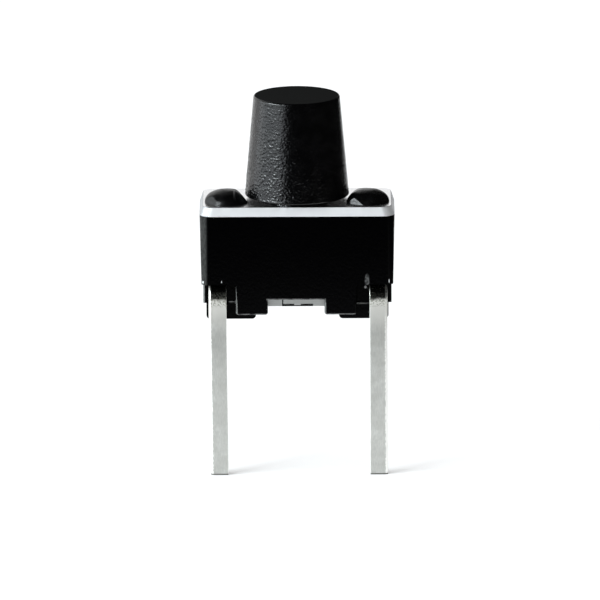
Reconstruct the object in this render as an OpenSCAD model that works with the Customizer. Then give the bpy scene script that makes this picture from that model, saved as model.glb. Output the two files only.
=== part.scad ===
// Two-pin tactile push button switch, through-hole, with a tall tapered button.
// Millimetres, +Z towards the button. The origin is on the button's axis, in the plane of
// the circuit board that the stand-off blocks rest on. The legs leave at the front (-Y).

/* [Body] */
// Width of the body and of the cover plate
body_w = 6.1; // [5.8:0.05:6.6]
// Depth of the body and of the cover plate
body_d = 2.8; // [2.8:0.1:3.6]
// Height of the body block between its step and the cover plate
block_h = 2.18; // [2.05:0.01:3]
// Height of that step above the board
step_z = 1.15; // [1.05:0.05:1.5]
// How much narrower each end of the body block is at its foot
draft = 0.05; // [0:0.01:0.08]
// Radius of the upright edges of the body block
body_r = 0.3; // [0.1:0.05:0.4]

/* [Base] */
// How far the base sits behind the body block, front and rear
base_in_y = 0.4; // [0.3:0.05:0.45]
// How far the base sits inside the body block at each end
base_in_x = 0.1; // [0.06:0.01:0.2]
// Height of the underside of the base between the blocks and the body's ends
base_z = 0.49; // [0.42:0.01:0.6]
// Height of the underside of the floor between the blocks
floor_z = 0.385; // [0.3:0.005:0.4]
// How far the stand-off blocks sit behind the body block, front and rear
foot_block_in_y = 0.3; // [0.25:0.05:0.35]
// How far the stand-off blocks sit inside the base at each end
foot_block_in_x = 0.1; // [0.05:0.01:0.2]
// Width of each stand-off block
foot_block_w = 1.55; // [1.2:0.05:1.6]
// Radius of the lower edges of the stand-off blocks
foot_block_r = 0.12; // [0.02:0.02:0.2]

/* [Aprons] */
// Width of the front and rear aprons
apron_w = 3.77; // [3.2:0.01:3.8]
// Thickness of the aprons and their feet
apron_t = 0.35; // [0.31:0.01:0.4]
// How far the aprons stand off the middle, to the left
apron_off = 0.04; // [0:0.01:0.08]
// Height of the lower edge of the aprons
apron_z = 0.66; // [0.6:0.01:0.8]
// Width of the foot at each end of an apron
foot_w = 1.0; // [0.7:0.02:1.1]
// Height of the underside of those feet
foot_z = 0.18; // [0.05:0.01:0.3]
// Radius of the lower corners of those feet
foot_r = 0.08; // [0.02:0.01:0.15]

/* [Cover plate] */
// Thickness of the cover plate
plate_t = 0.3; // [0.15:0.01:0.4]
// Radius of the corners of the cover plate
plate_r = 0.35; // [0.1:0.05:0.5]

/* [Posts] */
// Distance between the two posts that hold the cover plate
post_pitch = 4.4; // [4.36:0.01:4.6]
// How far the posts stand in front of the button's axis
post_front = 0.5; // [0.3:0.05:0.5]
// Diameter of the posts
post_d = 0.7; // [0.5:0.05:0.8]
// Diameter of the melted heads
head_d = 1.34; // [1.1:0.02:1.36]
// Height of the melted heads
head_h = 0.39; // [0.2:0.01:0.4]
// Gap round each post in the cover plate
post_gap = 0.03; // [0.02:0.01:0.08]

/* [Button] */
// Diameter of the button at its top
button_top_d = 2.71; // [2.2:0.01:3]
// Diameter of the button at its lower rim
button_base_d = 3.26; // [3:0.02:3.28]
// Height of the button's top above the cover plate
button_h = 3.33; // [1.5:0.01:8]
// Gap that is left under the rim when the button is down
rim_gap = 0.02; // [0.02:0.01:0.1]
// Radius of the button's lower rim
rim_r = 0.11; // [0.08:0.01:0.15]
// Radius of the button's top edge
top_r = 0.07; // [0.03:0.01:0.2]
// Rise of the middle of the button's top over its edge
crown_h = 0.03; // [0.01:0.01:0.1]
// Travel of the button
travel = 0.12; // [0.1:0.01:0.15]
// Diameter of the neck that passes through the cover plate
neck_d = 1.9; // [1.6:0.05:1.95]
// Gap round the neck and the ears
slide_gap = 0.05; // [0.04:0.01:0.06]
// Span of the two ears under the cover plate
ear_span = 3.1; // [2.8:0.05:3.2]
// Width of the ears, front to rear
ear_w = 1.24; // [0.8:0.02:1.4]
// Thickness of the ears
ear_t = 0.4; // [0.25:0.05:0.5]
// Diameter of the core below the ears
core_d = 1.4; // [1.1:0.1:1.6]
// Height of the underside of the core over the cavity floor
core_lift = 0.95; // [0.6:0.05:1.2]
// Diameter of the nub that presses the dome
nub_d = 0.8; // [0.5:0.1:1]

/* [Dome] */
// Diameter of the snap dome
dome_d = 2.0; // [1.8:0.05:2]
// Thickness of the snap dome
dome_t = 0.06; // [0.04:0.01:0.1]
// Gap between the dome and the nub at rest
nub_gap = 0.02; // [0.01:0.01:0.03]

/* [Terminals] */
// Thickness of the terminal strip
sheet_t = 0.3; // [0.2:0.01:0.32]
// Distance between the two legs
leg_pitch = 5.0; // [4.9:0.05:5.08]
// Width of each leg
leg_w = 0.56; // [0.4:0.02:0.6]
// Length of the legs below the board
leg_len = 4.94; // [2:0.02:8]
// Inner radius of the bend at the top of each leg
bend_r = 0.15; // [0.11:0.01:0.25]
// Radius of the long edges of the legs
leg_edge_r = 0.04; // [0.01:0.01:0.06]
// Thickness of the pressed-down arm of the right terminal
arm_t = 0.18; // [0.1:0.01:0.19]
// Width of the arms inside the base
arm_w = 0.55; // [0.3:0.05:0.6]
// Diameter of the middle contact pad
pad_d = 0.7; // [0.4:0.05:0.8]
// Width of the contact arc under the rim of the dome
arc_w = 0.4; // [0.2:0.05:0.45]
// Width of the slot that keeps the two webs apart
web_gap = 0.04; // [0.03:0.01:0.08]
// Distance of that slot from the middle
web_split = 0.44; // [0.41:0.01:0.6]
// Width of the web of the left terminal
web_w = 0.85; // [0.6:0.05:0.95]
// Length of the raised part of the right web
web_notch_l = 0.93; // [0.5:0.05:1]
// Height of the raised part of the right web over the floor's underside
web_notch_h = 0.075; // [0.04:0.005:0.12]
// Width of the tab in the middle of that raised part
web_tab_w = 0.2; // [0.1:0.02:0.3]
// Length of that tab
web_tab_l = 0.045; // [0.02:0.005:0.07]

/* [Hidden] */
$fn = 96;
eps = 0.01;

mould_black = [0.05, 0.05, 0.055];
steel = [0.82, 0.84, 0.86];
tin = [0.74, 0.75, 0.72];
bronze = [0.78, 0.66, 0.42];

// Levels
plate_z = step_z + block_h;
plate_top = plate_z + plate_t;
rim_z = plate_top + travel + rim_gap;
button_top = plate_top + button_h;
ledge_z = plate_z - ear_t - 2 * travel;
dome_h = travel + dome_t;
dome_ball_r = (pow(dome_d / 2, 2) + pow(dome_h, 2)) / (2 * dome_h);
nub_z = step_z + dome_h + nub_gap;
strip_z = step_z - sheet_t;

// Fronts, measured from the button's axis
base_front = body_d / 2 - base_in_y;
floor_front = body_d / 2 - apron_t;
foot_block_front = body_d / 2 - foot_block_in_y;

// Half widths
base_half = body_w / 2 - base_in_x;
foot_block_out = base_half - foot_block_in_x;
foot_block_inner = foot_block_out - foot_block_w;

// Fits
hole_d = neck_d + 2 * slide_gap;
cavity_d = hole_d + 2 * slide_gap;
post_hole_d = post_d + 2 * post_gap;
head_ball_r = (pow(head_d / 2, 2) + pow(head_h, 2)) / (2 * head_h);
crown_ball_r = (pow(button_top_d / 2 - top_r, 2) + pow(crown_h, 2)) / (2 * crown_h);

// Slope of the button's side, as the loss of radius for each millimetre of height
side_run = (button_base_d - button_top_d) / 2;
side_rise = button_top - crown_h - top_r - rim_z - rim_r;
side_angle = atan(side_run / side_rise);

// Rectangle with rounded corners, made of plain squares and circles
module round_rect(w, d, r) {
    square([w - 2 * r, d], center = true);
    square([w, d - 2 * r], center = true);
    for (sx = [-1, 1], sy = [-1, 1])
        translate([sx * (w / 2 - r), sy * (d / 2 - r)]) circle(r);
}

// Upright block between two heights with rounded lower corners, run along Y
module low_round_block(x0, x1, z0, z1, y_half, r) {
    rotate([90, 0, 0]) linear_extrude(2 * y_half, center = true) {
        translate([x0, z0 + r]) square([x1 - x0, z1 - z0 - r]);
        translate([x0 + r, z0]) square([x1 - x0 - 2 * r, z1 - z0]);
        for (x = [x0 + r, x1 - r]) translate([x, z0 + r]) circle(r);
    }
}

module at_posts() {
    for (s = [-1, 1]) translate([s * post_pitch / 2, -post_front, 0]) children();
}

// Body block, slightly narrower towards its foot
module body_block() {
    intersection() {
        translate([0, 0, step_z]) linear_extrude(block_h) round_rect(body_w, body_d, body_r);
        rotate([90, 0, 0]) linear_extrude(2 * body_d, center = true) polygon([
            [-body_w / 2 + draft, step_z], [body_w / 2 - draft, step_z],
            [body_w / 2, plate_z], [-body_w / 2, plate_z]
        ]);
    }
}

module base_block() {
    translate([-base_half, -base_front, base_z])
        cube([2 * base_half, 2 * base_front, step_z - base_z + eps]);
    translate([-foot_block_inner - eps, -floor_front, floor_z])
        cube([2 * (foot_block_inner + eps), 2 * floor_front, step_z - floor_z + eps]);
    for (s = [0, 1]) mirror([s, 0, 0])
        low_round_block(foot_block_inner, foot_block_out, 0, base_z + eps, foot_block_front, foot_block_r);
}

// Apron under one long side of the body block, with a foot at each end
module apron() {
    depth = apron_t + eps;
    y_mid = -body_d / 2 + depth / 2;
    translate([-apron_off, y_mid, 0]) {
        translate([-apron_w / 2, -depth / 2, apron_z]) cube([apron_w, depth, step_z - apron_z + eps]);
        for (s = [0, 1]) mirror([s, 0, 0])
            low_round_block(apron_w / 2 - foot_w, apron_w / 2, foot_z, apron_z + foot_r, depth / 2, foot_r);
    }
}

// Room for the dome below, and for the neck and the ears above
module cavity() {
    translate([0, 0, step_z]) cylinder(h = block_h + eps, d = cavity_d);
    slot_w = ear_span + 2 * slide_gap;
    slot_d = ear_w + 2 * slide_gap;
    translate([-slot_w / 2, -slot_d / 2, ledge_z]) cube([slot_w, slot_d, plate_z - ledge_z + eps]);
}

// Melted head: a flat-bottomed cap of a ball
module post_head() {
    intersection() {
        translate([0, 0, plate_top + head_h - head_ball_r]) sphere(head_ball_r);
        translate([0, 0, plate_top]) cylinder(h = head_h + eps, d = 2 * head_d);
    }
}

module housing() {
    color(mould_black) {
        difference() {
            union() {
                body_block();
                base_block();
                for (s = [0, 1]) mirror([0, s, 0]) apron();
            }
            cavity();
            left_terminal_body();
            right_terminal_body();
        }
        at_posts() {
            translate([0, 0, plate_z - eps]) cylinder(h = plate_t + 2 * eps, d = post_d);
            post_head();
        }
    }
}

module cover_plate() {
    color(steel) translate([0, 0, plate_z]) linear_extrude(plate_t) difference() {
        round_rect(body_w, body_d, plate_r);
        circle(d = hole_d);
        at_posts() circle(d = post_hole_d);
    }
}

// Half section of the button above the cover plate, from the axis outwards
module button_section() {
    rim_c = [button_base_d / 2 - rim_r, rim_z + rim_r];
    top_c = [button_top_d / 2 - top_r, button_top - crown_h - top_r];
    polygon([
        [0, rim_z], [rim_c[0], rim_z],
        rim_c + rim_r * [cos(side_angle), sin(side_angle)],
        top_c + top_r * [cos(side_angle), sin(side_angle)],
        [top_c[0], top_c[1] + top_r], [0, top_c[1] + top_r]
    ]);
    translate(rim_c) circle(rim_r);
    translate(top_c) circle(top_r);
}

module plunger() {
    color(mould_black) {
        rotate_extrude() button_section();
        intersection() {
            translate([0, 0, button_top - crown_ball_r]) sphere(crown_ball_r);
            translate([0, 0, button_top - crown_h - eps])
                cylinder(h = crown_h + 2 * eps, r = button_top_d / 2 - top_r);
        }
        translate([0, 0, plate_z - ear_t]) cylinder(h = rim_z - plate_z + ear_t + eps, d = neck_d);
        translate([-ear_span / 2, -ear_w / 2, plate_z - ear_t]) cube([ear_span, ear_w, ear_t]);
        translate([0, 0, step_z + core_lift])
            cylinder(h = plate_z - ear_t - step_z - core_lift + eps, d = core_d);
        translate([0, 0, nub_z]) cylinder(h = step_z + core_lift - nub_z + eps, d = nub_d);
    }
}

module snap_dome() {
    color(bronze) intersection() {
        difference() {
            translate([0, 0, step_z + dome_h - dome_ball_r]) sphere(dome_ball_r);
            translate([0, 0, step_z + dome_h - dome_ball_r]) sphere(dome_ball_r - dome_t);
        }
        translate([0, 0, step_z]) cylinder(h = dome_h + eps, d = 2 * dome_d);
    }
}

// Leg with its bend and its flat run into the base, on the centre line x = 0
module leg() {
    y_bend = -floor_front;
    z_bend = strip_z - bend_r;
    run_end = -arm_w / 2;
    r_mid = bend_r + sheet_t / 2;
    translate([0, y_bend, z_bend]) rotate([90, 0, -90]) rotate_extrude(angle = 90)
        translate([r_mid, 0]) round_rect(sheet_t, leg_w, leg_edge_r);
    translate([0, y_bend - r_mid, -leg_len]) linear_extrude(leg_len + z_bend)
        round_rect(leg_w, sheet_t, leg_edge_r);
    translate([0, y_bend, strip_z + sheet_t / 2]) rotate([-90, 0, 0])
        linear_extrude(run_end - y_bend) round_rect(leg_w, sheet_t, leg_edge_r);
}

module left_terminal_body() {
    translate([-leg_pitch / 2, 0, 0]) leg();
    // Flat run to the contact arc
    arc_out = dome_d / 2 + slide_gap;
    arc_mid = arc_out - arc_w / 2;
    translate([-leg_pitch / 2 - leg_w / 2, -arm_w / 2, strip_z])
        cube([leg_pitch / 2 + leg_w / 2 - arc_mid, arm_w, sheet_t]);
    translate([0, 0, strip_z]) intersection() {
        difference() {
            cylinder(h = sheet_t, r = arc_out);
            translate([0, 0, -eps]) cylinder(h = sheet_t + 2 * eps, r = arc_out - arc_w);
        }
        translate([-arc_out - eps, -arc_out, 0]) cube([arc_out + eps - web_split - web_gap, 2 * arc_out, sheet_t]);
    }
    // Web, turned down behind the front apron
    web_x = -web_split - web_gap - web_w;
    translate([web_x, -floor_front, floor_z]) cube([web_w, sheet_t, step_z - floor_z]);
}

module right_terminal_body() {
    translate([leg_pitch / 2, 0, 0]) leg();
    arm_out = cavity_d / 2 + slide_gap;
    translate([arm_out - eps, -arm_w / 2, strip_z])
        cube([leg_pitch / 2 + leg_w / 2 - arm_out + eps, arm_w, sheet_t]);
    translate([0, -arm_w / 2, strip_z]) cube([arm_out, arm_w, arm_t]);
    translate([0, 0, strip_z]) cylinder(h = sheet_t, d = pad_d);
    // Web, turned down behind the front apron, with its raised part and middle tab
    web_end = web_split + web_w;
    notch_x = -web_split - eps;
    translate([web_end - arm_w, -floor_front, strip_z]) cube([arm_w, floor_front, arm_t]);
    difference() {
        translate([-web_split, -floor_front, floor_z])
            cube([web_end + web_split, sheet_t, strip_z + arm_t - floor_z]);
        translate([notch_x, -floor_front - eps, floor_z - eps])
            cube([web_notch_l + eps, sheet_t + 2 * eps, web_notch_h + eps]);
    }
    translate([-web_tab_w / 2, -floor_front, floor_z + web_notch_h - web_tab_l])
        cube([web_tab_w, sheet_t, web_tab_l + eps]);
}

module left_terminal() {
    color(tin) left_terminal_body();
}

module right_terminal() {
    color(tin) right_terminal_body();
}

housing();
cover_plate();
plunger();
snap_dome();
left_terminal();
right_terminal();
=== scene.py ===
"""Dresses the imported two-pin tactile push button switch: black mouldings, steel cover plate, tinned legs.

Shapes are worked out in millimetres and scaled to metres when a piece is finished. The frame is the
CAD's: the origin is on the button's axis in the plane of the circuit board, +Z towards the button.
"""

import math

import bmesh
import bpy
from mathutils import Matrix, Vector, noise


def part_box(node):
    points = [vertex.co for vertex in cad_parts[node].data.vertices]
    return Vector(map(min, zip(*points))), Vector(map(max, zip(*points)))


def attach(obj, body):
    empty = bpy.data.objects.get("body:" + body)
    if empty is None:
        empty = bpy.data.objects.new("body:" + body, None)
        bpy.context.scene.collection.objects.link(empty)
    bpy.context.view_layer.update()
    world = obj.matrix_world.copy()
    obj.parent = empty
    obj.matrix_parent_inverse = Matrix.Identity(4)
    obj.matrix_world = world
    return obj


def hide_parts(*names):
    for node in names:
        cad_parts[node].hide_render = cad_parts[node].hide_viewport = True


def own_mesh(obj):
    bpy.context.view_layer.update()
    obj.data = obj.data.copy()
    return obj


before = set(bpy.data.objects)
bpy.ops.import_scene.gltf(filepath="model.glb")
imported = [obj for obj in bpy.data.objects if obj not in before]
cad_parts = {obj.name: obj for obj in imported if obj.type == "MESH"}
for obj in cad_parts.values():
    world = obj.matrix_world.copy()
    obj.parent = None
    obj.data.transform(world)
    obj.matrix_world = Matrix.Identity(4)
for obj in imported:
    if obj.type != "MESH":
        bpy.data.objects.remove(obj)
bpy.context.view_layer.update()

X, Y, Z = 0, 1, 2
MM = 0.001
TO_METRES = Matrix.Scale(MM, 4)
TO_MM = Matrix.Scale(1 / MM, 4)
NEAR = 0.01  # points closer than this to a face of the CAD lie on it


# ---------------------------------------------------------------------------------------------
# Sizes, in millimetres. Places come from the frame, and the rest repeats the part's dimensions.
# ---------------------------------------------------------------------------------------------
def box_mm(node):
    low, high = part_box(node)
    return low / MM, high / MM


HOUSING_LOW, HOUSING_HIGH = box_mm("housing")
PLATE_LOW, PLATE_HIGH = box_mm("cover_plate")
DOME_LOW, DOME_HIGH = box_mm("snap_dome")

PLATE_TOP = PLATE_HIGH.z
BUTTON_TOP = box_mm("plunger")[1].z
LEG_TIP_Z = box_mm("left_terminal")[0].z

# Underside of the body block, and the lower step of the base
STEP_Z = DOME_LOW.z
BASE_Z = 0.49

# Button, above the cover plate
BUTTON_TOP_R = 1.355
BUTTON_BASE_R = 1.63
RIM_Z = PLATE_TOP + 0.13
RIM_R = 0.035
TOP_EDGE_R = 0.07
CROWN_H = 0.03

# Melted heads of the two posts
HEAD_X = 2.2
HEAD_Y = -0.5
HEAD_R = 0.69
HEAD_NEAR_R = 0.605
HEAD_H = HOUSING_HIGH.z - PLATE_TOP

# Terminals, whose flat runs lie in the base with their tops level with the step
LEG_X = 2.5
LEG_W = 0.56
SHEET_T = 0.3
BEND_R = 0.15
WEB_FRONT_Y = -1.05


# ---------------------------------------------------------------------------------------------
# Material helper
# ---------------------------------------------------------------------------------------------
# Sockets that share a name with others of their node, and so are called by number
VECTOR_SCALE = 3
MIX_A, MIX_B, MIX_RESULT = 6, 7, 2

# Most of a noise lies between these two values
NOISE_LOW, NOISE_HIGH = 0.3, 0.7

# Share of its radius up to which a speck or a spot is solid
SPECK_CORE = 0.3
SPOT_CORE = 0.4


class Paint:
    """A material under construction, with short calls that add its nodes. Lengths are in mm."""

    def __init__(self, name):
        self.material = bpy.data.materials.new(name)
        self.material.use_nodes = True
        self.nodes = self.material.node_tree.nodes
        self.links = self.material.node_tree.links
        self.shader = self.nodes["Principled BSDF"]
        place = self.nodes.new("ShaderNodeTexCoord")
        self.place = self.vector_math("SCALE", place.outputs["Object"], scale=1 / MM)
        geometry = self.nodes.new("ShaderNodeNewGeometry")
        self.normal = geometry.outputs["Normal"]

    def feed(self, source, socket):
        """Connects a node output, or writes a plain value, to an input socket."""
        if isinstance(source, bpy.types.NodeSocket):
            self.links.new(source, socket)
        elif socket.type == "RGBA":
            socket.default_value = (*source, 1)
        else:
            socket.default_value = source

    def set(self, **sockets):
        for name, source in sockets.items():
            self.feed(source, self.shader.inputs[name.replace("_", " ")])
        return self

    def math(self, operation, a, b=0.0):
        node = self.nodes.new("ShaderNodeMath")
        node.operation = operation
        self.feed(a, node.inputs[0])
        self.feed(b, node.inputs[1])
        return node.outputs[0]

    def times(self, a, b):
        return self.math("MULTIPLY", a, b)

    def plus(self, a, b):
        return self.math("ADD", a, b)

    def less(self, a, b):
        return self.math("SUBTRACT", a, b)

    def vector_math(self, operation, a, b=(0, 0, 0), scale=1.0):
        node = self.nodes.new("ShaderNodeVectorMath")
        node.operation = operation
        self.feed(a, node.inputs[0])
        self.feed(b, node.inputs[1])
        node.inputs[VECTOR_SCALE].default_value = scale
        return node.outputs[1] if operation == "LENGTH" else node.outputs[0]

    def part(self, vector, axis):
        node = self.nodes.new("ShaderNodeSeparateXYZ")
        self.feed(vector, node.inputs[0])
        return node.outputs[axis]

    def ramp(self, value, low, high, to_low=0.0, to_high=1.0):
        """A smooth step of value from to_low at low to to_high at high."""
        node = self.nodes.new("ShaderNodeMapRange")
        node.interpolation_type = "SMOOTHSTEP"
        self.feed(value, node.inputs["Value"])
        node.inputs["From Min"].default_value = low
        node.inputs["From Max"].default_value = high
        node.inputs["To Min"].default_value = to_low
        node.inputs["To Max"].default_value = to_high
        return node.outputs["Result"]

    def spread(self, value, to_low, to_high):
        """From to_low to to_high as a noise goes through most of its range."""
        return self.ramp(value, NOISE_LOW, NOISE_HIGH, to_low, to_high)

    def noise(self, per_mm, detail=2.0, stretch=(1, 1, 1)):
        """Noise from 0 to 1 with about per_mm features in a millimetre, denser along a stretched axis."""
        node = self.nodes.new("ShaderNodeTexNoise")
        self.feed(self.vector_math("MULTIPLY", self.place, stretch), node.inputs["Vector"])
        node.inputs["Scale"].default_value = per_mm
        node.inputs["Detail"].default_value = detail
        return node.outputs["Fac"]

    def specks(self, per_mm, radius, share):
        """1 in small round specks: one in each cell of a scattered grid, kept in a share of the cells."""
        node = self.nodes.new("ShaderNodeTexVoronoi")
        self.feed(self.place, node.inputs["Vector"])
        node.inputs["Scale"].default_value = per_mm
        near = self.ramp(node.outputs["Distance"], radius * per_mm, SPECK_CORE * radius * per_mm)
        kept = self.math("LESS_THAN", self.part(node.outputs["Color"], X), share)
        return self.times(near, kept)

    def spot(self, centre, half_sizes):
        """1 in the middle of an ellipsoid, fading to 0 at its surface."""
        off = self.vector_math("SUBTRACT", self.place, centre)
        share = self.vector_math("DIVIDE", off, half_sizes)
        return self.ramp(self.vector_math("LENGTH", share), 1.0, SPOT_CORE)

    def upright_edge(self, low, high):
        """0 on faces that lie square to the axes, 1 where an upright edge turns between them."""
        sizes = self.vector_math("ABSOLUTE", self.normal)
        return self.ramp(self.math("MINIMUM", self.part(sizes, X), self.part(sizes, Y)), low, high)

    def level_edge(self, low, high):
        """0 on upright and level faces, 1 where a level edge turns between them."""
        slope = self.math("ABSOLUTE", self.part(self.normal, Z))
        across = self.math("SQRT", self.less(1.0, self.times(slope, slope)))
        return self.ramp(self.math("MINIMUM", slope, across), low, high)

    def blend(self, factor, a, b):
        """Colour a where factor is 0, colour b where it is 1."""
        node = self.nodes.new("ShaderNodeMix")
        node.data_type = "RGBA"
        self.feed(factor, node.inputs["Factor"])
        self.feed(a, node.inputs[MIX_A])
        self.feed(b, node.inputs[MIX_B])
        return node.outputs[MIX_RESULT]

    def bump(self, height, depth, base=None):
        """A bumped normal, where a height of 1 stands depth proud."""
        node = self.nodes.new("ShaderNodeBump")
        node.inputs["Distance"].default_value = depth * MM
        self.feed(height, node.inputs["Height"])
        if base is not None:
            self.links.new(base, node.inputs["Normal"])
        return node.outputs["Normal"]


# ---------------------------------------------------------------------------------------------
# Materials
# ---------------------------------------------------------------------------------------------
# Colours of the black mouldings, each from its deepest shade to its palest mark
HOUSING_DEEP = (0.0001, 0.0001, 0.0002)
HOUSING_BLACK = (0.0003, 0.0003, 0.0004)
HOUSING_LEFT_HIGHLIGHT = (0.03, 0.031, 0.03)
HOUSING_MARK = (0.06, 0.062, 0.062)
HOUSING_EDGE_HIGHLIGHT = (0.11, 0.112, 0.11)
BASE_LEFT_HIGHLIGHT = (0.13, 0.134, 0.13)
HOUSING_NICK_AND_HIGHLIGHT = (0.5, 0.52, 0.52)
HEAD_DEEP = (0.0004, 0.0004, 0.0005)
HEAD_BLACK = (0.0012, 0.0012, 0.0014)
SIDE_DEEP = (0.0003, 0.0003, 0.0004)
SIDE_BLACK = (0.0008, 0.0008, 0.001)
TOP_DEEP = (0.006, 0.0062, 0.0062)
TOP_BLACK = (0.011, 0.0112, 0.011)

# Colours of the metals
STEEL_LEFT_SHADE = (0.38, 0.39, 0.4)
STEEL_SHEARED = (0.85, 0.86, 0.88)
STEEL_CLOUD = (0.94, 0.95, 0.96)
STEEL_BRIGHT = (0.97, 0.98, 0.99)
BEND_SHADE = (0.012, 0.012, 0.01)
BEND_LIT_GREY = (0.21, 0.21, 0.18)
TIN_TIP_SHADE = (0.15, 0.15, 0.14)
TIN_LINE = (0.36, 0.37, 0.36)
TIN_DARK = (0.49, 0.5, 0.47)
TIN_INSIDE_SHADE = (0.51, 0.52, 0.51)
TIN_MARK = (0.52, 0.52, 0.46)
TIN_LIGHT = (0.59, 0.595, 0.565)
TIN_CLOUD = (0.66, 0.67, 0.64)
TIN_UPPER_HIGHLIGHT = (0.89, 0.89, 0.84)
TIN_EDGE_HIGHLIGHT = (0.95, 0.95, 0.92)
BRONZE_DARK = (0.62, 0.5, 0.27)
BRONZE_LIGHT = (0.8, 0.68, 0.42)

# Marks on the housing: middle and half sizes of each. The first is a painted highlight on the body's left
# front corner, the second and third are nick marks on its front face, and the last three, beside the legs,
# are painted highlights on the base's edges
SCUFF = ((2.18, -1.4, 1.28), (0.09, 0.2, 0.26))
NICKS_AND_HIGHLIGHT_SPOTS = (
    ((-2.95, -1.28, 1.23), (0.035, 0.2, 0.06)), ((-2.37, -1.4, 1.25), (0.012, 0.2, 0.05)),
    ((2.87, -1.38, 1.26), (0.02, 0.2, 0.08)), ((2.13, -1.1, 0.98), (0.05, 0.5, 0.06)),
    ((-2.06, -1.1, 0.525), (0.12, 0.5, 0.024)), ((-1.94, -1.1, 0.53), (0.035, 0.5, 0.05)),
)

# Least strength of the scuff and of the painted highlight on the left-facing corners
SCUFF_LEAST = 0.4
LEFT_HIGHLIGHT_LEAST = 0.7

# How strongly the shearing shows in the colour of the plate's edges, and how metallic they are
SHEAR_TINT = 0.2
EDGE_METAL = 0.8

# Tinned legs: height of the painted shade along their bottom ends, how ragged the border of the painted
# shade in the bend is, in millimetres, how much of that shade is missing in its gaps, and the pits'
# strength away from the bend
TIP_SHADE_H = 0.03
BEND_RAGGED = 0.2
SHADE_GAP_SHARE = 0.4
PITS_ON_LEG = 0.1

# Distances over which colours change at a level, in millimetres
STEP_FADE = 0.02
INSIDE_FADE = 0.03


def housing_paint():
    """Smooth black nylon: near black, with painted highlights on its level edges, its left-facing corners
    and a few spots, and with specks, a scuff and nick marks.
    """
    paint = Paint("housing_black")
    grain = paint.noise(per_mm=30, detail=3)
    scratchy = paint.ramp(paint.noise(per_mm=13, detail=3, stretch=(1.6, 1, 0.8)), low=0.42, high=0.58)
    colour = paint.blend(paint.noise(per_mm=2.5), HOUSING_DEEP, HOUSING_BLACK)

    # Painted highlight: level edges are painted paler, as if their bevels caught the light, broken up by a
    # noise
    broken = paint.ramp(paint.noise(per_mm=7, detail=3), low=0.25, high=0.6)
    edge = paint.times(paint.level_edge(low=0.2, high=0.5), broken)
    colour = paint.blend(edge, colour, HOUSING_EDGE_HIGHLIGHT)

    # Painted highlight: corners turned towards the left lamps are painted paler, more so below the step,
    # streaked by a noise
    facing_right = paint.part(paint.normal, X)
    off_front = paint.ramp(facing_right, low=-0.15, high=-0.45)
    off_end = paint.ramp(facing_right, low=-0.99, high=-0.94)
    left_highlight_strength = paint.plus(LEFT_HIGHLIGHT_LEAST, paint.times(scratchy, 1 - LEFT_HIGHLIGHT_LEAST))
    below_step = paint.ramp(paint.part(paint.place, Z), low=STEP_Z, high=STEP_Z - STEP_FADE)
    corner = paint.blend(below_step, HOUSING_LEFT_HIGHLIGHT, BASE_LEFT_HIGHLIGHT)
    colour = paint.blend(paint.times(paint.times(off_front, off_end), left_highlight_strength), colour, corner)

    speck = paint.specks(per_mm=2.2, radius=0.018, share=0.35)
    scuff = paint.times(paint.spot(*SCUFF), paint.plus(SCUFF_LEAST, scratchy))
    colour = paint.blend(paint.math("MAXIMUM", speck, scuff), colour, HOUSING_MARK)
    # Nick marks and painted highlight spots, pale grey
    nick_and_highlight_mask = 0.0
    for middle, half_sizes in NICKS_AND_HIGHLIGHT_SPOTS:
        nick_and_highlight_mask = paint.math("MAXIMUM", nick_and_highlight_mask, paint.spot(middle, half_sizes))
    colour = paint.blend(nick_and_highlight_mask, colour, HOUSING_NICK_AND_HIGHLIGHT)

    roughness = paint.spread(grain, 0.14, 0.22)
    normal = paint.bump(scratchy, depth=0.001, base=paint.bump(grain, depth=0.0008))
    paint.set(Base_Color=colour, Roughness=roughness, Normal=normal, Specular_IOR_Level=0.045)
    return paint.material


def head_paint():
    """Black nylon that was melted and pressed: soft dimples and smears, glossier on the right head."""
    paint = Paint("head_black")
    smear = paint.noise(per_mm=5, detail=3, stretch=(1, 1, 2))
    colour = paint.blend(smear, HEAD_DEEP, HEAD_BLACK)
    dull_left = paint.ramp(paint.part(paint.place, X), low=-1, high=1, to_low=0.1, to_high=0)
    roughness = paint.plus(paint.ramp(smear, low=0.35, high=0.7, to_low=0.18, to_high=0.3), dull_left)
    normal = paint.bump(paint.noise(per_mm=9), depth=0.004)
    paint.set(Base_Color=colour, Roughness=roughness, Normal=normal, Specular_IOR_Level=0.25)
    return paint.material


def button_side_paint():
    """Black leathery moulded side: its wrinkles are in the mesh, and a finer grain is added here."""
    paint = Paint("button_black")
    patch = paint.noise(per_mm=3)
    colour = paint.blend(patch, SIDE_DEEP, SIDE_BLACK)
    roughness = paint.spread(patch, 0.16, 0.24)
    normal = paint.bump(paint.noise(per_mm=13, detail=3), depth=0.011)
    paint.set(Base_Color=colour, Roughness=roughness, Normal=normal, Specular_IOR_Level=0.36)
    return paint.material


def button_top_paint():
    """Flat top of the button: a fine, dull, even texture."""
    paint = Paint("button_top_matte")
    grain = paint.noise(per_mm=34)
    colour = paint.blend(grain, TOP_DEEP, TOP_BLACK)
    roughness = paint.spread(grain, 0.88, 0.98)
    normal = paint.bump(grain, depth=0.001)
    paint.set(Base_Color=colour, Roughness=roughness, Normal=normal, Specular_IOR_Level=0.0)
    return paint.material


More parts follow.
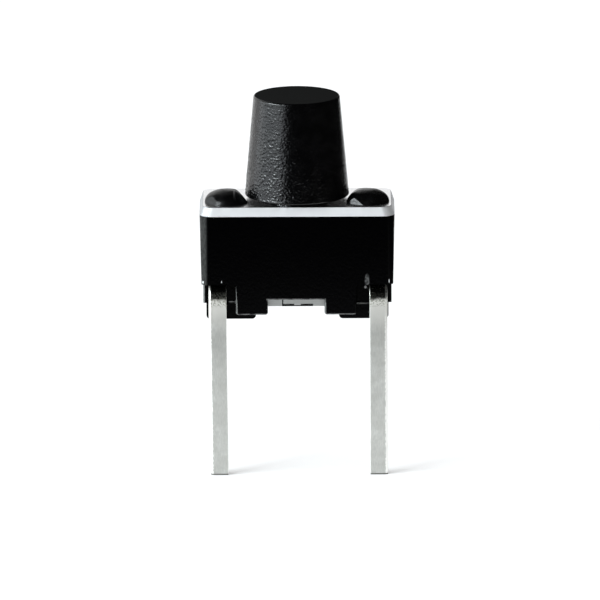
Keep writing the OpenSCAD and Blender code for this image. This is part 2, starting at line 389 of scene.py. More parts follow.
def plate_paint():
    """Steel sheet: rolled mirror faces, and rougher sheared edges with fine upright marks; faces turned
    towards the left are painted darker, a painted shade that tones down the left lamps' highlight.
    """
    paint = Paint("plate_steel")
    flat = paint.ramp(paint.math("ABSOLUTE", paint.part(paint.normal, Z)), low=0.5, high=0.95)
    rolling = paint.noise(per_mm=1.2, detail=4, stretch=(2, 60, 2))
    shear = paint.noise(per_mm=5, stretch=(2, 2, 0.3))
    colour = paint.blend(paint.noise(per_mm=1.5, detail=3), STEEL_CLOUD, STEEL_BRIGHT)
    colour = paint.blend(paint.times(shear, SHEAR_TINT), colour, STEEL_SHEARED)
    # Painted shade: faces that turn towards the left are painted darker
    left_face_shade = paint.ramp(paint.part(paint.normal, X), low=-0.05, high=-0.4)
    colour = paint.blend(left_face_shade, colour, STEEL_LEFT_SHADE)
    on_face = paint.spread(rolling, 0.18, 0.26)
    on_edge = paint.spread(shear, 0.48, 0.56)
    roughness = paint.plus(on_edge, paint.times(paint.less(on_face, on_edge), flat))
    normal = paint.bump(paint.times(shear, paint.less(1.0, flat)), depth=0.0006)
    normal = paint.bump(rolling, depth=0.00008, base=normal)
    metal = paint.plus(EDGE_METAL, paint.times(flat, 1 - EDGE_METAL))
    paint.set(Base_Color=colour, Roughness=roughness, Normal=normal, Metallic=metal)
    return paint.material


def tin_paint():
    """Dull tin plating: satin and mottled, with painted highlights on its edges and towards the top of the
    legs; painted shade darkens the pitted bend, the flat runs within the base and the legs' bottom ends.
    """
    paint = Paint("tin_plating")
    x, y, z = (paint.part(paint.place, axis) for axis in (X, Y, Z))
    streak = paint.noise(per_mm=5, detail=4, stretch=(3, 3, 0.25))
    mottle = paint.noise(per_mm=3.2, detail=4)
    pits = paint.noise(per_mm=18, detail=3)
    fine = paint.noise(per_mm=30, detail=3, stretch=(1.2, 1, 0.2))
    edge = paint.upright_edge(low=0.05, high=0.4)

    colour = paint.blend(streak, TIN_DARK, TIN_LIGHT)
    colour = paint.blend(paint.ramp(mottle, low=0.35, high=0.8), colour, TIN_CLOUD)
    lines = paint.ramp(fine, low=0.35, high=0.65, to_high=0.3)
    colour = paint.blend(lines, colour, TIN_LINE)
    # Painted highlight: the rounded upright edges, and dots along the sharp ones, are painted near white
    dotted = paint.ramp(paint.noise(per_mm=14, detail=3), low=0.44, high=0.56)
    dotted_highlights = paint.times(paint.upright_edge(low=0.002, high=0.05), dotted)
    colour = paint.blend(paint.math("MAXIMUM", edge, dotted_highlights), colour, TIN_EDGE_HIGHLIGHT)

    # Painted highlight: the legs are painted lighter towards their tops
    colour = paint.blend(paint.ramp(z, low=-0.5, high=0.5), colour, TIN_UPPER_HIGHLIGHT)
    # Painted shade: a dark band along the bottom end of each leg
    tip_shade = paint.ramp(z, low=LEG_TIP_Z + TIP_SHADE_H + STEP_FADE, high=LEG_TIP_Z + TIP_SHADE_H)
    colour = paint.blend(tip_shade, colour, TIN_TIP_SHADE)
    marks = paint.times(paint.ramp(z, low=0.42, high=0.56), paint.ramp(pits, low=0.5, high=0.56))
    colour = paint.blend(marks, colour, TIN_MARK)
    # Painted shade: the flat runs behind the web's front, under the body, are painted darker
    inside_shade = paint.ramp(y, low=WEB_FRONT_Y - INSIDE_FADE, high=WEB_FRONT_Y)
    colour = paint.blend(inside_shade, colour, TIN_INSIDE_SHADE)

    # Painted shade in the bend under the body: near black with a ragged border and gaps, and grey patches
    # low in it, stronger on the left leg, where the light falls
    ragged = paint.plus(z, paint.times(paint.noise(per_mm=9, detail=3), BEND_RAGGED))
    bend = paint.times(paint.ramp(ragged, low=0.72, high=0.87), paint.less(1.0, edge))
    bend_lit_patches = paint.times(paint.ramp(z, low=0.96, high=0.84), paint.ramp(pits, low=0.35, high=0.6))
    bend_lit_patches = paint.times(bend_lit_patches, paint.ramp(x, low=-2, high=2, to_low=1, to_high=0.3))
    shade_gaps = paint.less(1.0, paint.times(paint.ramp(pits, low=0.62, high=0.7), SHADE_GAP_SHARE))
    bend_shade_colour = paint.blend(bend_lit_patches, BEND_SHADE, BEND_LIT_GREY)
    colour = paint.blend(paint.times(bend, shade_gaps), colour, bend_shade_colour)

    roughness = paint.ramp(paint.plus(streak, mottle), low=0.7, high=1.3, to_low=0.28, to_high=0.38)
    normal = paint.bump(paint.times(pits, paint.plus(PITS_ON_LEG, bend)), depth=0.005)
    normal = paint.bump(paint.plus(streak, fine), depth=0.0012, base=normal)
    paint.set(Base_Color=colour, Roughness=roughness, Normal=normal, Metallic=1.0)
    return paint.material


def dome_paint():
    """Spring bronze with fine rolling lines."""
    paint = Paint("dome_bronze")
    rolling = paint.noise(per_mm=4, detail=3, stretch=(1, 20, 1))
    colour = paint.blend(rolling, BRONZE_DARK, BRONZE_LIGHT)
    roughness = paint.spread(rolling, 0.2, 0.36)
    normal = paint.bump(rolling, depth=0.0008)
    paint.set(Base_Color=colour, Roughness=roughness, Normal=normal, Metallic=1.0)
    return paint.material


# ---------------------------------------------------------------------------------------------
# Shape helpers
# ---------------------------------------------------------------------------------------------
SHARP_ANGLE = math.radians(40)
BEVEL_ANGLE = math.radians(45)
FLAT_ANGLE = math.radians(1)
CAD_MERGE = 0.0005
SLIVER = 0.0006
ON_AXIS = 1e-6


def make_object(name, bm):
    """A new object from a bmesh in millimetres."""
    mesh = bpy.data.meshes.new(name)
    bm.to_mesh(mesh)
    bm.free()
    obj = bpy.data.objects.new(name, mesh)
    bpy.context.scene.collection.objects.link(obj)
    return obj


def apply_modifiers(obj):
    depsgraph = bpy.context.evaluated_depsgraph_get()
    mesh = bpy.data.meshes.new_from_object(obj.evaluated_get(depsgraph))
    obj.modifiers.clear()
    obj.data = mesh


def drop_slivers(mesh):
    """Merges points that lie almost on each other, so that no sliver faces are left."""
    bm = bmesh.new()
    bm.from_mesh(mesh)
    bmesh.ops.remove_doubles(bm, verts=bm.verts, dist=SLIVER)
    bmesh.ops.dissolve_degenerate(bm, edges=bm.edges, dist=SLIVER)
    bm.to_mesh(mesh)
    bm.free()


def finish_piece(obj, materials, body, node, flat_sided=False):
    """Brings a piece made in millimetres into the frame, attaches it to its body and hides its CAD node."""
    apply_modifiers(obj)
    drop_slivers(obj.data)
    for material in materials:
        obj.data.materials.append(material)
    for polygon in obj.data.polygons:
        polygon.use_smooth = True
    obj.data.set_sharp_from_angle(angle=SHARP_ANGLE)
    if flat_sided:
        normals = obj.modifiers.new("flat faces stay flat", "WEIGHTED_NORMAL")
        normals.keep_sharp = True
        apply_modifiers(obj)
    obj.data.transform(TO_METRES)
    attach(obj, body)
    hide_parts(node)
    return obj


def cad_copy(node):
    """The CAD node's own shape as a clean bmesh in millimetres, its flat faces whole again."""
    bm = bmesh.new()
    bm.from_mesh(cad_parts[node].data)
    bmesh.ops.transform(bm, matrix=TO_MM, verts=bm.verts)
    bmesh.ops.remove_doubles(bm, verts=bm.verts, dist=CAD_MERGE)
    bmesh.ops.dissolve_limit(bm, angle_limit=FLAT_ANGLE, verts=bm.verts, edges=bm.edges)
    return bm


def cut_off(bm, point, normal):
    """Removes what lies beyond a plane and closes the cut."""
    geometry = bm.verts[:] + bm.edges[:] + bm.faces[:]
    cut = bmesh.ops.bisect_plane(bm, geom=geometry, plane_co=point, plane_no=normal, clear_outer=True)
    rim = [part for part in cut["geom_cut"] if isinstance(part, bmesh.types.BMEdge)]
    bmesh.ops.holes_fill(bm, edges=rim)


def bevel_edges(obj, width, segments):
    """Rounds the sharp edges of a piece."""
    bevel = obj.modifiers.new("edges", "BEVEL")
    bevel.width = width
    bevel.segments = segments
    bevel.limit_method = "ANGLE"
    bevel.angle_limit = BEVEL_ANGLE


def lathe(profile, segments):
    """Surface of revolution about Z from (radius, height) points, top to bottom, as a bmesh."""
    bm = bmesh.new()
    rings = []
    for radius, height in profile:
        if radius < ON_AXIS:
            rings.append([bm.verts.new((0, 0, height))])
            continue
        ring = []
        for i in range(segments):
            a = 2 * math.pi * i / segments
            ring.append(bm.verts.new((radius * math.cos(a), radius * math.sin(a), height)))
        rings.append(ring)
    for upper, lower in zip(rings, rings[1:]):
        for i in range(segments):
            j = (i + 1) % segments
            corners = [upper[i % len(upper)], lower[i % len(lower)]]
            corners += [lower[j % len(lower)], upper[j % len(upper)]]
            bm.faces.new(dict.fromkeys(corners))
    return bm


def arc(centre, radius, start, end, steps):
    """Points of an arc in a plane, angles in degrees from the first axis towards the second."""
    points = []
    for i in range(steps + 1):
        a = math.radians(start + (end - start) * i / steps)
        points.append((centre[0] + radius * math.cos(a), centre[1] + radius * math.sin(a)))
    return points


def outward(azimuth, elevation):
    """Unit vector that leans from the front, -Y, by azimuth towards +X and rises by elevation."""
    a, e = math.radians(azimuth), math.radians(elevation)
    return Vector((math.sin(a) * math.cos(e), -math.cos(a) * math.cos(e), math.sin(e)))


def smooth_step(value, low, high):
    t = min(max((value - low) / (high - low), 0), 1)
    return t * t * (3 - 2 * t)


# ---------------------------------------------------------------------------------------------
# Housing
# ---------------------------------------------------------------------------------------------
EDGE_R = 0.03
EDGE_SEGMENTS = 3
CORNER_R = 0.07
CORNER_SEGMENTS = 5
BASE_END = 2.9  # the base's corners lie beyond this distance from the middle
UPRIGHT_SHARE = 0.9

# Level cuts on both sides of each step, so that long bevels are shaded evenly
CUT_FROM_STEP = 0.06
LEVEL_CUTS = (
    BASE_Z - CUT_FROM_STEP, BASE_Z + CUT_FROM_STEP, STEP_Z - CUT_FROM_STEP, STEP_Z + CUT_FROM_STEP,
    PLATE_LOW.z - CUT_FROM_STEP,
)


def worn_corner(edge):
    """Whether an edge is a corner of the base, or on the outline of an apron's outer face."""
    a, b = edge.verts[0].co, edge.verts[1].co
    top = max(a.z, b.z)
    upright = abs(a.z - b.z) > UPRIGHT_SHARE * (a - b).length
    on_face = max(a.y, b.y) < HOUSING_LOW.y + NEAR or min(a.y, b.y) > HOUSING_HIGH.y - NEAR
    below_body = top < STEP_Z - NEAR or upright and top < STEP_Z + NEAR
    return below_body and (on_face or upright and abs(a.x) > BASE_END)


def build_housing(material):
    """The moulding without its melted heads, which are pieces of their own."""
    bm = cad_copy("housing")
    cut_off(bm, (0, 0, PLATE_TOP - NEAR), (0, 0, 1))
    corners = [edge for edge in bm.edges if worn_corner(edge)]
    bmesh.ops.bevel(
        bm, geom=corners, offset=CORNER_R, segments=CORNER_SEGMENTS, affect="EDGES", profile=0.5)
    for level in LEVEL_CUTS:
        everything = bm.verts[:] + bm.edges[:] + bm.faces[:]
        bmesh.ops.bisect_plane(bm, geom=everything, plane_co=(0, 0, level), plane_no=(0, 0, 1))
    obj = make_object("housing_moulding", bm)
    bevel_edges(obj, EDGE_R, EDGE_SEGMENTS)
    return finish_piece(obj, [material], "switch_base", "housing", flat_sided=True)


# ---------------------------------------------------------------------------------------------
# Melted heads of the posts
# ---------------------------------------------------------------------------------------------
HEAD_SEGMENTS = 340
HEAD_RINGS = 90
HEAD_FULLNESS = 2.3
HEAD_SUNK = 0.02

# How squarely a side of a head faces the button, as a cosine, where it starts to narrow and is narrowest
NARROW_FROM = 0.84
NARROW_FULL = 0.985

# Soft lumps, which fade out towards the plate
LUMP_H = 0.015
LUMPS_PER_MM = 2.6
DENT_FADE_H = 0.2

# Crease across the front of the left head, and the fall of its face to the right of it
CREASE_X = 0.25
CREASE_W = 0.02
CREASE_H = 0.034
CREASE_FRONT = (0.05, 0.3)
CREASE_FALL = 0.22

# Shoulder of the right head
SHOULDER_DROP = 0.03
SHOULDER_RIGHT = (0.15, 0.5)
SHOULDER_FRONT = (-0.5, 0.5)

# Pressed flats: a point on each, the way it faces, and how far it is pressed, 1 being quite flat
FLAT_EDGE = 0.015
LEFT_FLATS = (
    ((-0.46, -0.34, 0.2), outward(-50, 22), 0.97),
    ((-0.36, -0.53, 0.14), outward(-33, 17), 0.95),
    ((-0.28, -0.34, 0.33), outward(-34, 46), 0.8),
)
RIGHT_FLATS = (
    ((-0.44, -0.42, 0.2), outward(-28, 14), 1.0),
    ((-0.42, -0.4, 0.25), outward(-12.8, 35), 1.0),
)


def dome_height(share):
    """Height of a full dome with steep sides at a share of its radius."""
    return HEAD_H * (1 - share ** HEAD_FULLNESS) ** 0.5


def left_head_dent(x, y):
    """Drop of the left head: right of a sharp crease its face falls away more steeply."""
    ridge = -CREASE_H * math.exp(-((x - CREASE_X) / CREASE_W) ** 2)
    return CREASE_FALL * max(x - CREASE_X, 0) + ridge * smooth_step(-y, *CREASE_FRONT)


def right_head_dent(x, y):
    """Drop of the right head: a low shoulder on its right."""
    return SHOULDER_DROP * smooth_step(x, *SHOULDER_RIGHT) * smooth_step(-y, *SHOULDER_FRONT)


def press_flat(place, flats):
    """Moves a point of a head back towards each flat that it stands out of, with soft edges."""
    for on_flat, facing, share in flats:
        out = (place - Vector(on_flat)).dot(facing)
        soft = max(out + FLAT_EDGE, 0) ** 2 / (4 * FLAT_EDGE)
        place -= facing * (out if out > FLAT_EDGE else soft) * share
    return place


def build_head(name, x_middle, dent, flats, material):
    """A melted head: a full dome, narrower where the button's rim passes it, with pressed flats."""
    shares = [math.sin(math.pi / 2 * i / HEAD_RINGS) for i in range(HEAD_RINGS)] + [1.0]
    bm = lathe([(share, -i) for i, share in enumerate(shares)], HEAD_SEGMENTS)
    middle = Vector((x_middle, HEAD_Y, 0))
    to_button = -middle.normalized()
    for vert in bm.verts:
        share = shares[round(-vert.co.z)]
        around = Vector((vert.co.x, vert.co.y, 0)).normalized()
        narrow = smooth_step(around.dot(to_button), NARROW_FROM, NARROW_FULL)
        place = around * share * (HEAD_R + (HEAD_NEAR_R - HEAD_R) * narrow)
        height = dome_height(share)
        lump_place = Vector((LUMPS_PER_MM * place.x + x_middle, LUMPS_PER_MM * place.y, 0))
        drop = dent(place.x, place.y) + LUMP_H * noise.noise(lump_place)
        height -= drop * smooth_step(height, 0, DENT_FADE_H)
        place = press_flat(place + Vector((0, 0, height)), flats)
        vert.co = middle + place + Vector((0, 0, PLATE_TOP))
        vert.co.z = max(vert.co.z, PLATE_TOP)
    foot = bmesh.ops.extrude_edge_only(bm, edges=[edge for edge in bm.edges if edge.is_boundary])
    ring = [part for part in foot["geom"] if isinstance(part, bmesh.types.BMVert)]
    bmesh.ops.translate(bm, vec=(0, 0, -HEAD_SUNK), verts=ring)
    bmesh.ops.holes_fill(bm, edges=[edge for edge in bm.edges if edge.is_boundary])
    obj = make_object(name, bm)
    return finish_piece(obj, [material], "switch_base", "housing")


# ---------------------------------------------------------------------------------------------
# Cover plate
# ---------------------------------------------------------------------------------------------
PLATE_EDGE_R = 0.02
PLATE_ENDS_IN = 0.1
PLATE_SIDES_IN = 0.03
PLATE_OUTLINE = 0.92  # the outline lies beyond this share of the half sizes


def build_plate(material):
    """The sheet, whose top is drawn in a little on all sides by the shearing."""
    bm = cad_copy("cover_plate")
    for vert in bm.verts:
        x_share, y_share = abs(vert.co.x) / PLATE_HIGH.x, abs(vert.co.y) / PLATE_HIGH.y
        if max(x_share, y_share) > PLATE_OUTLINE and vert.co.z > PLATE_TOP - NEAR:
            vert.co.x *= 1 - PLATE_ENDS_IN / PLATE_HIGH.x
            vert.co.y *= 1 - PLATE_SIDES_IN / PLATE_HIGH.y
    obj = make_object("steel_cover", bm)
    bevel_edges(obj, PLATE_EDGE_R, EDGE_SEGMENTS)
    return finish_piece(obj, [material], "switch_base", "cover_plate", flat_sided=True)


# ---------------------------------------------------------------------------------------------
# Button
# ---------------------------------------------------------------------------------------------
BUTTON_SEGMENTS = 460
CROWN_ROWS = 6
TOP_EDGE_ROWS = 5
TOP_EDGE_START = 80
SIDE_ROWS = 150
RIM_ROWS = 8
SIDE_LOW = RIM_Z + RIM_R * 0.5
SIDE_HIGH = BUTTON_TOP - CROWN_H - TOP_EDGE_R
DULL_ABOVE = SIDE_HIGH + 0.9 * TOP_EDGE_R
DULL_BELOW = RIM_Z + 0.3 * RIM_R

# Wrinkles: their depth falls from foot to top over this share of the side, and fades out at both ends
WRINKLE_SEED = 1
WRINKLE_PER_MM = 12.5
WRINKLE_MEAN = 0.6
WRINKLE_FOOT = 0.022
WRINKLE_TOP = 0.009
FALL_SHARE = 0.9
FADE_AT_RIM = 0.08
FADE_AT_TOP = 0.1

# The right side is calmer: by this share, over this stretch of the side's direction in X
RIGHT_CALM = 0.6
CALM_FROM, CALM_FULL = -0.2, 0.3

# Folds bend with a slow warp and are a little wider than they are tall, and finer ones lie on them
WARP_PER_MM = 2.2
WARP_MM = 0.09
FOLD_FLATNESS = 1.35
FINE_SCALE = 2.1
FINE_SCALE_Z = 2.6
FINE_OFFSET = 9
FINE_SHARE = 0.45


def button_profile():
    """Half section of the button above the cover plate, from the middle of its top to its underside."""
    top_c = (BUTTON_TOP_R - TOP_EDGE_R, SIDE_HIGH)
    rim_c = (BUTTON_BASE_R - RIM_R, RIM_Z + RIM_R)
    slope = math.degrees(math.atan2(rim_c[0] + RIM_R - top_c[0] - TOP_EDGE_R, top_c[1] - rim_c[1]))
    crown_ball = (top_c[0] ** 2 + CROWN_H ** 2) / (2 * CROWN_H)
    profile = []
    for i in range(CROWN_ROWS + 1):
        r = top_c[0] * i / CROWN_ROWS
        profile.append((r, BUTTON_TOP - crown_ball + math.sqrt(crown_ball ** 2 - r ** 2)))
    profile += arc(top_c, TOP_EDGE_R, TOP_EDGE_START, slope, TOP_EDGE_ROWS)
    lower = arc(rim_c, RIM_R, slope, -90, RIM_ROWS)
    upper = Vector(profile[-1])
    side = Vector(lower[0]) - upper
    for i in range(1, SIDE_ROWS):
        profile.append(tuple(upper + side * i / SIDE_ROWS))
    return profile + lower + [(0, RIM_Z)]


def wrinkle(place):
    """Height of the leathery wrinkles, from 0 in a crease to about 1 on a ridge."""
    warp = noise.noise_vector(place * WARP_PER_MM)
    p = (place + warp * WARP_MM) * WRINKLE_PER_MM
    folds = abs(noise.noise(Vector((p.x, p.y, FOLD_FLATNESS * p.z))))
    fine_place = Vector((FINE_SCALE * p.x, FINE_SCALE * p.y, FINE_SCALE_Z * p.z + FINE_OFFSET))
    return folds + FINE_SHARE * abs(noise.noise(fine_place))


def build_button(side_material, top_material):
    """The button above the plate: wrinkled side, and dull top and underside."""
    noise.seed_set(WRINKLE_SEED)
    bm = lathe(button_profile(), BUTTON_SEGMENTS)
    for vert in bm.verts:
        if not SIDE_LOW < vert.co.z < SIDE_HIGH:
            continue
        up = (vert.co.z - SIDE_LOW) / (SIDE_HIGH - SIDE_LOW)
        depth = WRINKLE_FOOT + (WRINKLE_TOP - WRINKLE_FOOT) * smooth_step(up, 0, FALL_SHARE)
        depth *= smooth_step(vert.co.z, SIDE_LOW, SIDE_LOW + FADE_AT_RIM)
        depth *= smooth_step(SIDE_HIGH - vert.co.z, 0, FADE_AT_TOP)
        from_axis = Vector((vert.co.x, vert.co.y, 0)).normalized()
        depth *= 1 - RIGHT_CALM * smooth_step(from_axis.x, CALM_FROM, CALM_FULL)
        vert.co += from_axis * depth * (wrinkle(vert.co) - WRINKLE_MEAN)
    for face in bm.faces:
        height = face.calc_center_median().z
        face.material_index = 1 if height > DULL_ABOVE or height < DULL_BELOW else 0
    obj = make_object("button_cap", bm)
    return finish_piece(obj, [side_material, top_material], "button", "plunger")


STEM_TOP = RIM_Z + 0.03
STEM_EDGE_R = 0.02
STEM_EDGE_SEGMENTS = 2


def build_stem(material):
    """Neck, ears and nub, up into the button's underside."""
    bm = cad_copy("plunger")
    cut_off(bm, (0, 0, STEM_TOP), (0, 0, 1))
    obj = make_object("button_stem", bm)
    bevel_edges(obj, STEM_EDGE_R, STEM_EDGE_SEGMENTS)
    return finish_piece(obj, [material], "button", "plunger")


# ---------------------------------------------------------------------------------------------
# Snap dome
# ---------------------------------------------------------------------------------------------
DOME_T = 0.06
DOME_STEPS = 30
DOME_SEGMENTS = 128


def build_dome(material):
    """Thin domed spring disc, with a mesh of its own."""
    rise = DOME_HIGH.z - DOME_LOW.z - DOME_T
    upper, lower = [], []
    for i in range(DOME_STEPS + 1):
        share = i / DOME_STEPS
        lift = DOME_LOW.z + rise * (1 - share * share)
        upper.append((DOME_HIGH.x * share, lift + DOME_T))
        lower.append((DOME_HIGH.x * share, lift))
    obj = make_object("contact_dome", lathe(upper + lower[::-1], DOME_SEGMENTS))
    piece = finish_piece(obj, [material], "switch_base", "snap_dome")
    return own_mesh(piece)


# ---------------------------------------------------------------------------------------------
# Terminals
# ---------------------------------------------------------------------------------------------
OUTER_EDGE_R = 0.09
INNER_EDGE_R = 0.018
LEG_EDGE_STEPS = 6
TIP_EDGE = 0.02
LEG_ROWS = 60
BEND_ROWS = 16

# The swept leg runs this far into the base, over the flat run, which starts just behind the web's front
RUN_INTO_BASE = 0.2
JOIN_BEHIND = 0.004
FLAT_RUN_EDGE_R = 0.012
FLAT_RUN_SEGMENTS = 2

# A leg leans from this height down, and wavers a little to the front and rear
LEAN_TOP_Z = 0.6
WAVER = 0.006
WAVER_PER_MM = 1.2


def leg_section(side):
    """Outline of a leg across its length, (x, depth): well rounded on its outer front edge."""
    half = LEG_W / 2
    corners = (
        (half, 0, OUTER_EDGE_R), (half, SHEET_T, INNER_EDGE_R),
        (-half, SHEET_T, INNER_EDGE_R), (-half, 0, INNER_EDGE_R),
    )
    points = []
    for index, (x, depth, radius) in enumerate(corners):
        centre = (x - math.copysign(radius, x), abs(depth - radius))
        points += arc(centre, radius, 90 * index - 90, 90 * index, LEG_EDGE_STEPS)
    return [(side * x, depth) for x, depth in points]


def leg_path():
    """Stations up a leg: (y of its front face, z, tilt), the tilt turning from upright to flat."""
    outer_r = BEND_R + SHEET_T
    bend_z = STEP_Z - outer_r
    stations = []
    for i in range(LEG_ROWS + 1):
        stations.append((WEB_FRONT_Y - outer_r, LEG_TIP_Z + (bend_z - LEG_TIP_Z) * i / LEG_ROWS, 0.0))
    for i in range(1, BEND_ROWS + 1):
        a = math.pi / 2 * i / BEND_ROWS
        stations.append((WEB_FRONT_Y - outer_r * math.cos(a), bend_z + outer_r * math.sin(a), a))
    stations.append((WEB_FRONT_Y + RUN_INTO_BASE, bend_z + outer_r, math.pi / 2))
    return stations


def sweep_leg(bm, side, lean, shift):
    """Adds one leg to a terminal: its section carried up the leg and round the bend."""
    section = leg_section(side)
    rings = []
    for index, (y, z, tilt) in enumerate(leg_path()):
        inward = Vector((0, math.cos(tilt), -math.sin(tilt)))
        low_share = smooth_step(-z, -LEAN_TOP_Z, -LEG_TIP_Z)
        x_off = side * LEG_X + shift + lean * low_share
        pinch = 1 - TIP_EDGE / LEG_W if index == 0 else 1
        waver = WAVER * noise.noise(Vector((2 * side, 0, WAVER_PER_MM * z)))
        ring = []
        for x, depth in section:
            place = Vector((x_off + x * pinch, y, z)) + inward * depth
            place.y += waver
            ring.append(bm.verts.new(place))
        rings.append(ring)
    count = len(section)
    for lower, upper in zip(rings, rings[1:]):
        for i in range(count):
            j = (i + 1) % count
            bm.faces.new((lower[i], lower[j], upper[j], upper[i]))
    bm.faces.new(rings[0][::-1])
    bm.faces.new(rings[-1])


def build_terminal(name, node, material, side, lean, shift):
    """A terminal: its flat run from the CAD, and a leg with rounded edges, leaning a little."""
    bm = cad_copy(node)
    cut_off(bm, (0, WEB_FRONT_Y + JOIN_BEHIND, 0), (0, -1, 0))
    obj = make_object(name, bm)
    bevel_edges(obj, FLAT_RUN_EDGE_R, FLAT_RUN_SEGMENTS)
    apply_modifiers(obj)
    joined = bmesh.new()
    joined.from_mesh(obj.data)
    sweep_leg(joined, side, lean, shift)
    bmesh.ops.recalc_face_normals(joined, faces=joined.faces)
    joined.to_mesh(obj.data)
    joined.free()
    return finish_piece(obj, [material], "switch_base", node, flat_sided=True)


black_head = head_paint()
black_side = button_side_paint()
tin = tin_paint()

build_housing(housing_paint())
build_head("left_post_head", -HEAD_X, left_head_dent, LEFT_FLATS, black_head)
build_head("right_post_head", HEAD_X, right_head_dent, RIGHT_FLATS, black_head)
build_plate(plate_paint())
build_button(black_side, button_top_paint())
build_stem(black_side)
build_dome(dome_paint())
build_terminal("left_terminal_strip", "left_terminal", tin, side=-1, lean=0.04, shift=0.0)
build_terminal("right_terminal_strip", "right_terminal", tin, side=1, lean=0.01, shift=0.035)


# ---------------------------------------------------------------------------------------------
# Floor and world
# ---------------------------------------------------------------------------------------------
FLOOR_SIDE = 26
FLOOR_FRONT = -24
FLOOR_BACK = 120
FLOOR_WHITE = (0.87, 0.87, 0.87)
FLOOR_ROUGHNESS = 0.8
FLOOR_GLOW_SHARE = 0.08

WORLD_LIGHT = 0.95
STUDIO_DARK = 0.01
BACKDROP_MIDDLE = (-0.6, 0.8, 0)
BACKDROP_FROM, BACKDROP_FULL = 0.55, 0.82


def ray_kinds(nodes, links):
    """Two outputs: 1 for camera rays, and 1 for glossy and transmission rays."""
    path = nodes.new("ShaderNodeLightPath")
    larger = nodes.new("ShaderNodeMath")
    larger.operation = "MAXIMUM"
    links.new(path.outputs["Is Glossy Ray"], larger.inputs[0])
    links.new(path.outputs["Is Transmission Ray"], larger.inputs[1])
    return path.outputs["Is Camera Ray"], larger.outputs[0]


def mix_value(nodes, links, factor, a, b):
    """Value a where factor is 0, value b where it is 1."""
    mix = nodes.new("ShaderNodeMix")
    mix.data_type = "FLOAT"
    links.new(factor, mix.inputs["Factor"])
    for source, socket in ((a, mix.inputs["A"]), (b, mix.inputs["B"])):
        if isinstance(source, bpy.types.NodeSocket):
            links.new(source, socket)
        else:
            socket.default_value = source
    return mix.outputs["Result"]


def build_floor():
    """A white card under the switch. Part of its white is its own, so the shadows on it stay soft."""
    bm = bmesh.new()
    corners = [(-FLOOR_SIDE, FLOOR_FRONT), (FLOOR_SIDE, FLOOR_FRONT)]
    corners += [(FLOOR_SIDE, FLOOR_BACK), (-FLOOR_SIDE, FLOOR_BACK)]
    bm.faces.new([bm.verts.new((x, y, LEG_TIP_Z)) for x, y in corners])
    obj = make_object("floor", bm)
    obj.data.transform(TO_METRES)
    paint = Paint("floor_white")
    paint.set(Base_Color=FLOOR_WHITE, Roughness=FLOOR_ROUGHNESS, Specular_IOR_Level=0.0)
    camera, mirror = ray_kinds(paint.nodes, paint.links)
    glow = paint.nodes.new("ShaderNodeEmission")
    glow.inputs["Strength"].default_value = 1.0
    share = paint.times(paint.math("MAXIMUM", camera, mirror), FLOOR_GLOW_SHARE)
    mix = paint.nodes.new("ShaderNodeMixShader")
    paint.links.new(share, mix.inputs[0])
    paint.links.new(paint.shader.outputs[0], mix.inputs[1])
    paint.links.new(glow.outputs[0], mix.inputs[2])
    paint.links.new(mix.outputs[0], paint.nodes["Material Output"].inputs["Surface"])
    obj.data.materials.append(paint.material)


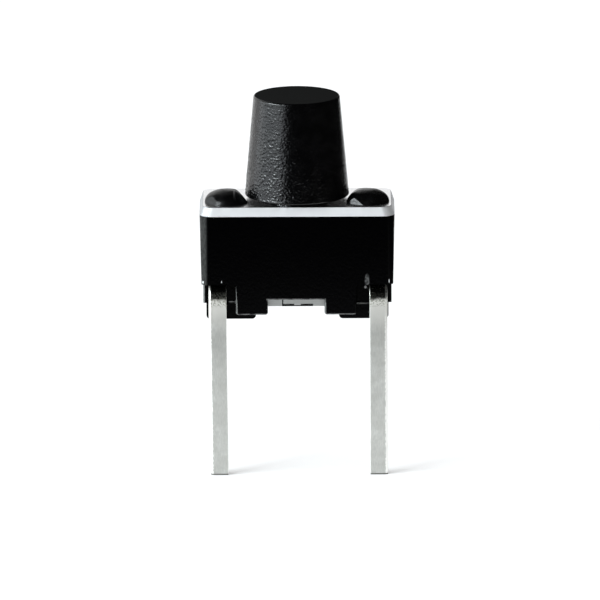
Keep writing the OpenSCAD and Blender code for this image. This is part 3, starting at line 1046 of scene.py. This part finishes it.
def build_world():
    """White to the camera. In reflections the backdrop behind the switch is white and the room dark."""
    world = bpy.data.worlds.new("studio")
    bpy.context.scene.world = world
    world.use_nodes = True
    nodes, links = world.node_tree.nodes, world.node_tree.links
    camera, mirror = ray_kinds(nodes, links)
    direction = nodes.new("ShaderNodeTexCoord")
    toward = nodes.new("ShaderNodeVectorMath")
    toward.operation = "DOT_PRODUCT"
    links.new(direction.outputs["Generated"], toward.inputs[0])
    toward.inputs[1].default_value = BACKDROP_MIDDLE
    backdrop = nodes.new("ShaderNodeMapRange")
    backdrop.interpolation_type = "SMOOTHSTEP"
    links.new(toward.outputs["Value"], backdrop.inputs["Value"])
    backdrop.inputs["From Min"].default_value = BACKDROP_FROM
    backdrop.inputs["From Max"].default_value = BACKDROP_FULL
    backdrop.inputs["To Min"].default_value = STUDIO_DARK
    backdrop.inputs["To Max"].default_value = 1.0
    unseen = mix_value(nodes, links, mirror, WORLD_LIGHT, backdrop.outputs["Result"])
    strength = mix_value(nodes, links, camera, unseen, 1.0)
    links.new(strength, nodes["Background"].inputs["Strength"])
    nodes["Background"].inputs["Color"].default_value = (1, 1, 1, 1)


# ---------------------------------------------------------------------------------------------
# Lamps and camera. Their sizes and distances are in metres.
# ---------------------------------------------------------------------------------------------
COOL_WHITE = (0.93, 1.0, 1.04)
LAMP_DISTANCE = 0.25

CAMERA_ELEVATION = math.radians(13.3)
CAMERA_ROLL = math.radians(-0.25)
CAMERA_DISTANCE = 0.4
CAMERA_LENS = 764.6
CAMERA_SENSOR = 36
CAMERA_CLIP = (0.001, 10)
CAMERA_AIM = Vector((0.08, 0, 0.335)) * MM


def area_light(name, azimuth, elevation, width, height, radiance):
    """A soft box that looks at the switch. Azimuth 0 is the camera's side, -90 the left."""
    data = bpy.data.lights.new(name, "AREA")
    data.shape = "RECTANGLE"
    data.size = width
    data.size_y = height
    data.energy = radiance * math.pi * width * height
    data.color = COOL_WHITE
    obj = bpy.data.objects.new(name, data)
    direction = outward(azimuth, elevation)
    obj.location = direction * LAMP_DISTANCE
    obj.rotation_euler = direction.to_track_quat("Z", "Y").to_euler()
    bpy.context.scene.collection.objects.link(obj)


def build_camera():
    data = bpy.data.cameras.new("camera")
    data.lens = CAMERA_LENS
    data.sensor_width = CAMERA_SENSOR
    data.clip_start, data.clip_end = CAMERA_CLIP
    obj = bpy.data.objects.new("camera", data)
    back = Vector((0, -math.cos(CAMERA_ELEVATION), math.sin(CAMERA_ELEVATION)))
    obj.location = CAMERA_AIM + back * CAMERA_DISTANCE
    tilt = Matrix.Rotation(math.pi / 2 - CAMERA_ELEVATION, 4, "X")
    roll = Matrix.Rotation(CAMERA_ROLL, 4, "Z")
    obj.rotation_euler = (tilt @ roll).to_euler()
    bpy.context.scene.collection.objects.link(obj)
    bpy.context.scene.camera = obj


build_floor()
build_world()
area_light("left_box", azimuth=-73, elevation=8, width=0.42, height=0.16, radiance=2.6)
area_light("small_box", azimuth=-62, elevation=20, width=0.15, height=0.07, radiance=20)
build_camera()
bpy.context.scene.view_settings.view_transform = "Standard"
